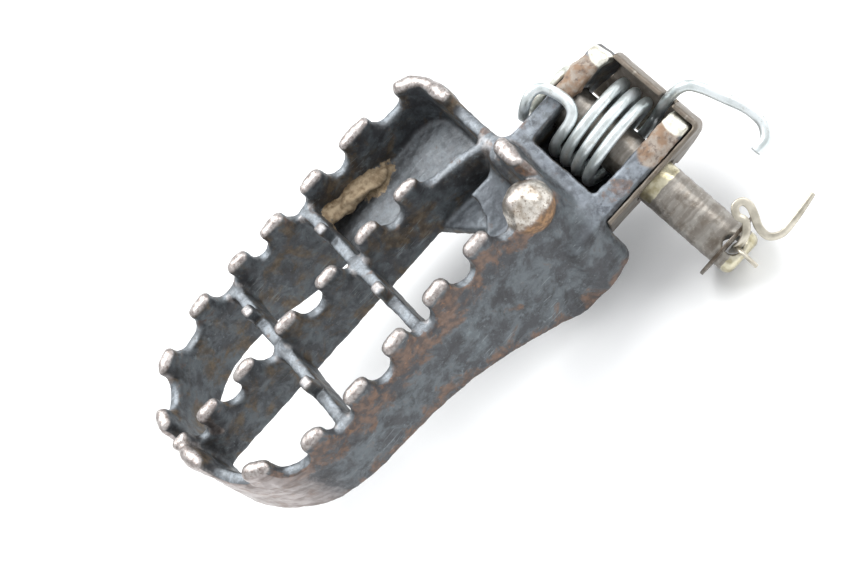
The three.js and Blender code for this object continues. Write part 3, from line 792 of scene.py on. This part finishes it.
def strip(routes, flatness):
    """Half-round strips along routes in (x, s, e), joined into one mesh."""
    radius = 0.85
    vertices = np.zeros((0, 3))
    faces = []
    angles = np.linspace(0, np.pi, 9)

    def section(share):
        r = radius * (0.8 if share in (0, 1) else 1)
        taper = 1 - 0.45 * max(0.0, (share - 0.86) / 0.14)
        round_side = [(r * math.cos(a) * taper, r * flatness * math.sin(a)) for a in angles]
        return round_side + [(-0.8 * r * taper, -0.28 * r), (0.8 * r * taper, -0.28 * r)]

    for route in routes:
        more, quads = swept(with_ends(spline(route, 8), 0.12), section)
        faces += [[i + len(vertices) for i in face] for face in quads]
        vertices = np.concatenate([vertices, more])
    return vertices, faces


def split_pin():
    hole = 36.35
    long_leg = [
        (0, hole, -6.5), (0, hole, 0), (0, hole, 5.4), (-1.1, 36.6, 8.0), (-3.0, 35.8, 9.7),
        (-4.4, 34.2, 10.0), (-4.1, 32.4, 10.2), (-5.2, 30.9, 10.4), (-6.8, 31.2, 10.4),
        (-7.2, 32.8, 10.2), (-6.3, 35.0, 10.0), (-5.3, 37.0, 9.2), (-5.3, 39.6, 8.4),
        (-7.4, 41.2, 8.0), (-10.2, 41.3, 8.0), (-14.8, 40.8, 8.0), (-17.5, 40.4, 8.0),
    ]
    short_leg = [(0.3, hole, 3.4), (0.4, 36.8, 5.4), (0.5, 37.8, 6.7), (0.6, 39.6, 6.9), (0.7, 42.0, 7.0)]
    vertices, faces = strip([long_leg, short_leg], 0.8)
    made = mesh_object("half_round_split_pin", from_pin_frame(vertices), faces)
    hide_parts("split_pin")
    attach(made, "pivot")
    return made


# ---- materials ------------------------------------------------------------------------------

def tone(r, g, b):
    """A colour given on the 0 to 255 display scale, as the linear colour that shaders take."""
    return tuple((c / 255 / 12.92 if c < 10.3 else ((c / 255 + 0.055) / 1.055) ** 2.4)
                 for c in (r, g, b)) + (1.0,)


class Paint:
    """A material put together from procedural nodes. Pattern sizes are in millimetres."""

    def __init__(self, name):
        self.material = bpy.data.materials.new(name)
        self.material.use_nodes = True
        self.tree = self.material.node_tree
        self.shader = self.tree.nodes["Principled BSDF"]
        self.place = self.tree.nodes.new("ShaderNodeTexCoord").outputs["Object"]

    def node(self, kind, inputs, **settings):
        made = self.tree.nodes.new(kind)
        for key, value in settings.items():
            setattr(made, key, value)
        for key, value in inputs.items():
            self.feed(made.inputs[key], value)
        return made

    def feed(self, socket, value):
        if isinstance(value, bpy.types.NodeSocket):
            self.tree.links.new(value, socket)
        else:
            socket.default_value = value

    def set(self, key, value):
        self.feed(self.shader.inputs[key], value)

    def attribute(self, name):
        return self.node("ShaderNodeAttribute", {}, attribute_name=name).outputs["Fac"]

    def noise(self, size, detail=4.0, rough=0.55, distort=0.0, place=None):
        return self.node("ShaderNodeTexNoise", {
            "Vector": place or self.place, "Scale": 1000 / size, "Detail": detail, "Roughness": rough,
            "Distortion": distort}).outputs["Fac"]

    def stretched(self, turn, stretch):
        return self.node("ShaderNodeMapping", {
            "Vector": self.place, "Rotation": turn, "Scale": stretch}).outputs["Vector"]

    def band(self, value, low, high, a=0.0, b=1.0):
        return self.node("ShaderNodeMapRange", {
            "Value": value, "From Min": low, "From Max": high, "To Min": a, "To Max": b},
            interpolation_type="SMOOTHSTEP").outputs["Result"]

    def sum(self, a, b, mode="ADD"):
        return self.node("ShaderNodeMath", {0: a, 1: b}, operation=mode).outputs[0]

    def times(self, *values):
        total = values[0]
        for value in values[1:]:
            total = self.sum(total, value, "MULTIPLY")
        return total

    def most(self, *values):
        total = values[0]
        for value in values[1:]:
            total = self.sum(total, value, "MAXIMUM")
        return total

    def mix(self, share, a, b):
        return self.node("ShaderNodeMix", {"Factor": share, "A": a, "B": b}, data_type="RGBA").outputs[2]

    def value_mix(self, share, a, b):
        return self.node("ShaderNodeMix", {0: share, 2: a, 3: b}, data_type="FLOAT").outputs[0]

    def bump(self, *layers):
        """layers are (height, strength, depth in mm), from coarse to fine."""
        normal = None
        for height, strength, depth in layers:
            inputs = {"Height": height, "Strength": strength, "Distance": depth * MM}
            if normal is not None:
                inputs["Normal"] = normal
            normal = self.node("ShaderNodeBump", inputs).outputs["Normal"]
        self.set("Normal", normal)


def cast_steel():
    p = Paint("worn_cast_steel")
    edge, cavity_shade, upward = (p.attribute(n) for n in ("edge", "cavity_shade", "upward"))
    mud, lump, pad, boss = (p.attribute(n) for n in ("mud", "lump", "pad", "boss"))
    facing, outer = p.attribute("facing"), p.attribute("outer")
    across = p.node("ShaderNodeSeparateXYZ", {"Vector": p.place}).outputs
    x, y, z = across[0], across[1], across[2]
    near_wall = p.times(p.band(facing, 0.25, 0.6), p.band(y, 0.0005, 0.0045))
    inside = p.sum(1.0, near_wall, "SUBTRACT")
    broad = p.noise(15, 3)
    patch = p.noise(4.6, 8, 0.68, 0.3)
    blot = p.noise(6.5, 7, 0.64, 0.5)
    fleck = p.noise(1.6, 5, 0.65)
    grain = p.noise(0.5, 3, 0.6)

    # Dark skin with blue-grey patches, where it has worn thin.
    skin = p.mix(p.band(patch, 0.4, 0.6), tone(76, 77, 80), tone(102, 108, 112))
    skin = p.mix(p.times(p.band(fleck, 0.52, 0.7), p.band(broad, 0.35, 0.7), 0.7), skin, tone(132, 141, 146))
    skin = p.mix(p.times(p.band(blot, 0.52, 0.64), 0.6), skin, tone(58, 57, 58))
    skin = p.mix(p.times(p.band(p.noise(0.8, 5, 0.7), 0.58, 0.72), 0.4), skin, tone(142, 148, 150))

    # Faces that look up are paler and bluer, most of all at the hinge end.
    on_top = p.band(upward, 0.55, 0.9)
    high = p.band(z, 0.0085, 0.0115)
    level = p.mix(p.band(y, -0.0135, -0.0115), tone(110, 114, 118), tone(132, 139, 147))
    pale = p.times(on_top, p.value_mix(high, 0.5, 0.72))
    skin = p.mix(pale, skin, p.mix(high, level, tone(126, 131, 136)))
    mottled = p.band(p.sum(fleck, p.times(grain, 0.35)), 0.62, 0.8)
    mottled = p.times(on_top, p.value_mix(high, 0.3, 1.0), mottled)
    skin = p.mix(p.times(mottled, 0.55), skin, tone(164, 172, 180))
    hinge_end = p.times(p.band(x, 0.017, 0.013), on_top)
    skin = p.mix(p.times(hinge_end, p.band(p.noise(3.0, 5, 0.62), 0.4, 0.6), 0.7), skin, tone(150, 157, 166))
    dark_spots = p.times(on_top, p.band(p.noise(2.2, 5, 0.66), 0.52, 0.64), p.value_mix(hinge_end, 0.3, 1.0))
    skin = p.mix(p.times(dark_spots, 0.65), skin, tone(66, 69, 76))

    # Olive and brown stain on the inner faces, then painted shade that darkens the hollows.
    brown = p.times(p.band(p.noise(6, 5, 0.62, 0.6), 0.47, 0.64), inside, p.band(upward, 0.7, 0.3))
    stain = p.mix(p.band(fleck, 0.4, 0.6), tone(84, 72, 58), tone(122, 104, 80))
    skin = p.mix(p.times(brown, 0.7), skin, stain)
    # Painted shade: closed-in hollows darkened towards near black.
    skin = p.mix(p.times(p.band(cavity_shade, 0.3, 0.95), 0.4), skin, tone(46, 44, 43))

    # Fine bright scratches, in three directions, on the outer side.
    lines = None
    for turn, size in (((0.0, 0.5, 0.2), 0.5), ((0.1, -0.35, 0.0), 0.62), ((0.0, 1.3, 0.0), 0.55)):
        thin = p.noise(size, 2, 0.5, 0.0, p.stretched(turn, (0.07, 1.0, 1.0)))
        line = p.band(thin, 0.67, 0.71)
        lines = line if lines is None else p.most(lines, line)
    lines = p.times(lines, p.band(p.noise(9, 3), 0.48, 0.62), p.band(x, 0.09, 0.075))
    skin = p.mix(p.times(lines, 0.42), skin, tone(158, 166, 170))

    # Brown rust: under the near teeth, along the lower edge, and in thin patches elsewhere.
    under_teeth = p.times(p.band(z, 0.0060, 0.0115), p.band(z, 0.0195, 0.0160))
    low_edge = p.band(p.sum(z, p.times(p.band(x, 0.028, 0.062), 0.0125), "SUBTRACT"), -0.0085, -0.0155)
    zone = p.times(p.most(under_teeth, p.times(low_edge, 0.9)), near_wall)
    amount = p.most(zone, p.times(edge, 0.35), p.times(hinge_end, 0.45), 0.1)
    rust = p.band(p.sum(p.noise(4.6, 7, 0.66, 0.5), p.times(amount, 0.22)), 0.61, 0.75)
    rust_tone = p.mix(p.band(p.noise(1.6, 4), 0.38, 0.64), tone(84, 68, 60), tone(126, 96, 76))
    rust_tone = p.mix(p.times(p.band(p.noise(1.0, 4), 0.6, 0.72), 0.7), rust_tone, tone(168, 118, 74))
    skin = p.mix(p.times(rust, 0.72, p.band(mud, 0.6, 0.2)), skin, rust_tone)

    # The tip's outer wall is rubbed to grey metal, streaked along.
    rubbed = p.times(p.band(x, 0.084, 0.101), p.band(y, -0.040, -0.022))
    facing_out = p.band(p.sum(outer, p.times(facing, 0.6)), 0.64, 0.84)
    streak = p.noise(2.2, 5, 0.6, 0.0, p.stretched((0.0, 0.0, 0.0), (0.35, 0.35, 1.2)))
    rubbed = p.times(rubbed, facing_out)
    grey = p.mix(p.band(streak, 0.36, 0.62), tone(128, 118, 114), tone(168, 160, 158))
    grey = p.mix(p.times(p.band(p.noise(3.5, 5, 0.6), 0.5, 0.66), 0.55), grey, tone(140, 122, 112))
    rubbed_share = p.times(rubbed, p.band(p.sum(patch, p.times(rubbed, 0.5)), 0.5, 0.75))
    skin = p.mix(rubbed_share, skin, grey)

    # The heads of the teeth and the corner boss are bare metal.
    height = p.band(p.sum(z, p.times(p.sum(patch, 0.5, "SUBTRACT"), 0.0055)), 0.0164, 0.0182)
    bare = p.times(height, p.band(p.sum(upward, p.times(edge, 0.2)), 0.3, 0.75), 0.9)
    rubbed_edge = p.times(p.band(p.sum(edge, p.times(fleck, 0.5)), 0.9, 1.15), p.band(z, 0.009, 0.014), 0.4)
    bare = p.most(bare, rubbed_edge)
    boss_rust = p.band(p.sum(p.attribute("boss_side"), p.times(p.sum(patch, 0.5, "SUBTRACT"), 7.0)), 2.4, 4.4)
    boss_bare = p.times(boss, p.sum(1.0, boss_rust, "SUBTRACT"))
    bare = p.most(bare, boss_bare)
    specks = p.band(p.noise(0.5, 4, 0.7), 0.55, 0.64)
    metal = p.mix(p.band(p.noise(1.1, 4, 0.6), 0.3, 0.7), tone(146, 136, 132), tone(204, 198, 195))
    boss_metal = p.mix(p.band(p.noise(1.7, 5, 0.6), 0.35, 0.62), tone(168, 158, 146), tone(216, 211, 203))
    metal = p.mix(boss_bare, metal, boss_metal)
    metal = p.mix(p.times(specks, 0.7), metal, tone(104, 84, 68))
    skin = p.mix(bare, skin, metal)
    boss_tone = p.mix(p.band(p.noise(1.3, 4), 0.4, 0.62), tone(120, 94, 70), tone(168, 132, 96))
    skin = p.mix(p.times(boss, boss_rust, 0.85), skin, boss_tone)

    # Hammered, rusty lumps on the ears, and the worn bare pads beside them, painted near white: worn metal
    # with a painted highlight.
    lump_tone = p.mix(p.band(p.noise(2.4, 5, 0.6), 0.4, 0.62), tone(140, 116, 96), tone(158, 148, 138))
    lump_tone = p.mix(p.times(p.band(p.noise(1.1, 4), 0.52, 0.68), 0.8), lump_tone, tone(104, 90, 82))
    lump_share = p.band(p.sum(lump, p.times(patch, 0.4)), 0.42, 0.7)
    skin = p.mix(lump_share, skin, lump_tone)
    # Worn bare pads on the ear tops, painted near white as a painted highlight on the bare metal.
    pad_share = p.band(p.sum(pad, p.times(patch, 0.5)), 0.62, 0.86)
    pad_tone_and_highlight = p.mix(p.band(p.noise(1.8, 4), 0.35, 0.65), tone(204, 200, 186), tone(236, 235, 225))
    skin = p.mix(pad_share, skin, pad_tone_and_highlight)

    mud_tone = p.mix(p.band(p.noise(1.3, 5), 0.35, 0.65), tone(128, 110, 86), tone(170, 152, 126))
    mud_share = p.band(p.sum(mud, p.times(p.sum(p.noise(3.2, 6, 0.65), 0.5, "SUBTRACT"), 2.2)), 0.52, 0.74)
    skin = p.mix(mud_share, skin, mud_tone)
    p.set("Base Color", skin)

    bright = p.most(bare, pad_share, rubbed_share)
    dull = p.most(p.times(rust, 0.8), mud_share, lump_share)
    shine = p.value_mix(bright, 0.6, 0.95)
    p.set("Metallic", p.times(shine, p.sum(1.0, dull, "SUBTRACT")))
    rough = p.value_mix(bright, p.band(fleck, 0.3, 0.7, 0.42, 0.62), p.band(fleck, 0.3, 0.7, 0.3, 0.46))
    p.set("Roughness", p.value_mix(dull, rough, 0.85))
    p.bump((patch, 0.3, 0.5), (fleck, 0.45, 0.22), (grain, 0.35, 0.1))
    return p.material


def pin_steel():
    p = Paint("worn_yellow_zinc")
    along = p.attribute("along")
    edge = p.attribute("edge")
    wander = p.sum(along, p.times(p.noise(3.0, 3), 1.2))
    rings = p.node("ShaderNodeTexNoise", {"W": p.times(wander, 0.5), "Scale": 1.0, "Detail": 4.0,
                                          "Roughness": 0.6}, noise_dimensions="1D").outputs["Fac"]
    blot = p.noise(2.6, 5, 0.6)
    fleck = p.noise(0.7, 4, 0.6)
    worn = p.mix(p.band(rings, 0.36, 0.64), tone(130, 124, 117), tone(152, 148, 142))
    worn = p.mix(p.times(p.band(blot, 0.46, 0.66), 0.6), worn, tone(104, 94, 82))
    worn = p.mix(p.times(p.band(fleck, 0.55, 0.72), 0.4), worn, tone(186, 182, 174))
    # Yellow zinc plating near the plate and at the end; near the plate it is kept to the pin's upper side as
    # a painted highlight.
    plated = p.mix(p.band(p.noise(2.0, 4), 0.35, 0.65), tone(176, 166, 128), tone(222, 216, 188))
    plating_and_top_highlight = p.most(p.times(p.band(along, 13.5, 15.0), p.band(along, 18.4, 16.8)), p.band(along, 36.2, 37.2))
    plating_and_top_highlight = p.times(plating_and_top_highlight, p.most(p.band(p.attribute("height"), 0.5, 3.0), p.band(along, 35.0, 36.0)))
    share = p.band(p.sum(plating_and_top_highlight, p.times(p.sum(p.noise(1.8, 4), 0.5, "SUBTRACT"), 0.9)), 0.45, 0.65)
    body = p.mix(p.times(share, 0.75), worn, plated)
    head = p.band(along, -11.5, -12.6)
    body = p.mix(head, body, p.mix(p.band(blot, 0.4, 0.62), tone(186, 186, 176), tone(222, 224, 216)))
    # Painted shade: the pin's hollows, such as its cross hole, darkened to brown-black.
    body = p.mix(p.times(p.attribute("cavity_shade"), 0.7), body, tone(52, 46, 40))
    body = p.mix(p.times(edge, 0.4), body, tone(214, 210, 200))
    p.set("Base Color", body)
    p.set("Metallic", 0.85)
    p.set("Roughness", p.value_mix(share, p.band(blot, 0.3, 0.7, 0.44, 0.36), 0.3))
    p.bump((blot, 0.15, 0.15), (fleck, 0.3, 0.07))
    return p.material


def washer_steel():
    p = Paint("stained_washer_steel")
    patch = p.noise(2.4, 5, 0.62)
    fleck = p.noise(0.6, 4, 0.6)
    body = p.mix(p.band(patch, 0.38, 0.64), tone(84, 74, 64), tone(128, 122, 114))
    body = p.mix(p.band(fleck, 0.56, 0.72), body, tone(72, 60, 50))
    p.set("Base Color", body)
    p.set("Metallic", 0.85)
    p.set("Roughness", p.band(patch, 0.3, 0.7, 0.52, 0.34))
    p.bump((patch, 0.3, 0.15), (fleck, 0.4, 0.06))
    return p.material


def zinc(name, low, high, stain):
    p = Paint(name)
    cloud = p.noise(4.5, 4, 0.55)
    fleck = p.noise(0.55, 4, 0.6)
    drawn = p.noise(0.5, 2, 0.5, 0.0, p.stretched((0.3, 0.2, 0.5), (1.0, 0.15, 0.6)))
    body = p.mix(p.band(cloud, 0.35, 0.65), low, high)
    body = p.mix(p.times(p.band(p.noise(2.4, 5, 0.62), 0.58, 0.72), 0.55), body, stain)
    body = p.mix(p.times(p.band(fleck, 0.6, 0.74), 0.35), body, tone(120, 118, 110))
    p.set("Base Color", body)
    p.set("Metallic", 0.8)
    p.set("Roughness", p.band(cloud, 0.3, 0.7, 0.3, 0.42))
    p.bump((drawn, 0.18, 0.05), (fleck, 0.25, 0.04))
    return p.material


def sheet_steel():
    p = Paint("stained_sheet_steel")
    edge = p.attribute("edge")
    patch = p.noise(4.0, 5, 0.6, 0.5)
    fleck = p.noise(0.9, 5, 0.62)
    drawn = p.noise(0.8, 3, 0.5, 0.0, p.stretched((0.0, 0.0, 0.0), (0.2, 1.0, 1.0)))
    body = p.mix(p.band(patch, 0.36, 0.66), tone(112, 104, 94), tone(150, 144, 135))
    body = p.mix(p.times(p.band(fleck, 0.55, 0.7), 0.5), body, tone(98, 82, 66))
    body = p.mix(p.times(p.band(drawn, 0.56, 0.7), 0.35), body, tone(190, 186, 178))
    body = p.mix(p.times(edge, p.band(patch, 0.4, 0.6), 0.5), body, tone(84, 68, 54))
    p.set("Base Color", body)
    p.set("Metallic", 0.85)
    p.set("Roughness", p.band(patch, 0.3, 0.7, 0.36, 0.54))
    p.bump((patch, 0.25, 0.25), (drawn, 0.2, 0.06), (fleck, 0.3, 0.06))
    return p.material


def pale_floor():
    p = Paint("pale_floor")
    p.set("Base Color", tone(250, 251, 252))
    p.set("Roughness", 0.9)
    p.set("Specular IOR Level", 0.1)
    return p.material


# ---- camera, light and floor ------------------------------------------------------------------

def camera():
    data = bpy.data.cameras.new("photo_camera")
    data.lens = 54.17
    data.sensor_width = 36.0
    data.clip_start = 0.01
    made = bpy.data.objects.new("photo_camera", data)
    right = (-0.66832, 0.53910, -0.51257)
    down = (0.74155, 0.53725, -0.40183)
    ahead = (0.05875, -0.64865, -0.75882)
    place = (0.0317435, 0.1733508, 0.2109680)
    columns = [right, [-v for v in down], [-v for v in ahead], place]
    made.matrix_world = Matrix([[column[row] for column in columns] for row in range(3)] + [[0, 0, 0, 1]])
    bpy.context.scene.collection.objects.link(made)
    bpy.context.scene.camera = made


def area_light(name, place, target, size, watts, colour):
    data = bpy.data.lights.new(name, "AREA")
    data.shape = "DISK"
    data.size = size
    data.energy = watts
    data.color = colour
    made = bpy.data.objects.new(name, data)
    direction = Matrix.Translation(place).to_translation() - Matrix.Translation(target).to_translation()
    made.rotation_euler = direction.to_track_quat("Z", "Y").to_euler()
    made.location = place
    bpy.context.scene.collection.objects.link(made)


def studio():
    world = bpy.data.worlds.new("white_studio")
    world.use_nodes = True
    back = world.node_tree.nodes["Background"]
    back.inputs["Color"].default_value = (0.98, 0.99, 1.0, 1.0)
    back.inputs["Strength"].default_value = 0.9
    bpy.context.scene.world = world
    area_light("softbox", (0.05, -0.30, 0.60), (0.05, -0.01, 0.0), 0.60, 5.0, (1.0, 1.0, 0.99))
    area_light("side_fill", (-0.45, 0.10, 0.40), (0.03, 0.0, 0.0), 0.40, 1.4, (1.0, 1.0, 1.0))
    size = 3.0
    height = CAD_BOX[0][2] - 0.0006
    corners = [(-size, -size, height), (size, -size, height), (size, size, height), (-size, size, height)]
    mesh = bpy.data.meshes.new("floor")
    mesh.from_pydata(corners, [], [(0, 1, 2, 3)])
    floor = bpy.data.objects.new("floor", mesh)
    floor.data.materials.append(pale_floor())
    bpy.context.scene.collection.objects.link(floor)
    bpy.context.scene.view_settings.view_transform = "Standard"


camera()
studio()
silver_zinc = zinc("bright_zinc", tone(200, 208, 208), tone(232, 238, 240), tone(176, 176, 164))
old_zinc = zinc("dull_gold_zinc", tone(160, 154, 140), tone(206, 200, 186), tone(138, 116, 84))
for piece, material in (
    (peg_casting(), cast_steel()),
    (pivot_pin(), pin_steel()),
    (flat_washer(), washer_steel()),
    (clevis_plate(), sheet_steel()),
    (return_spring(), silver_zinc),
    (split_pin(), old_zinc),
):
    piece.data.materials.append(material)

bpy.context.view_layer.update()
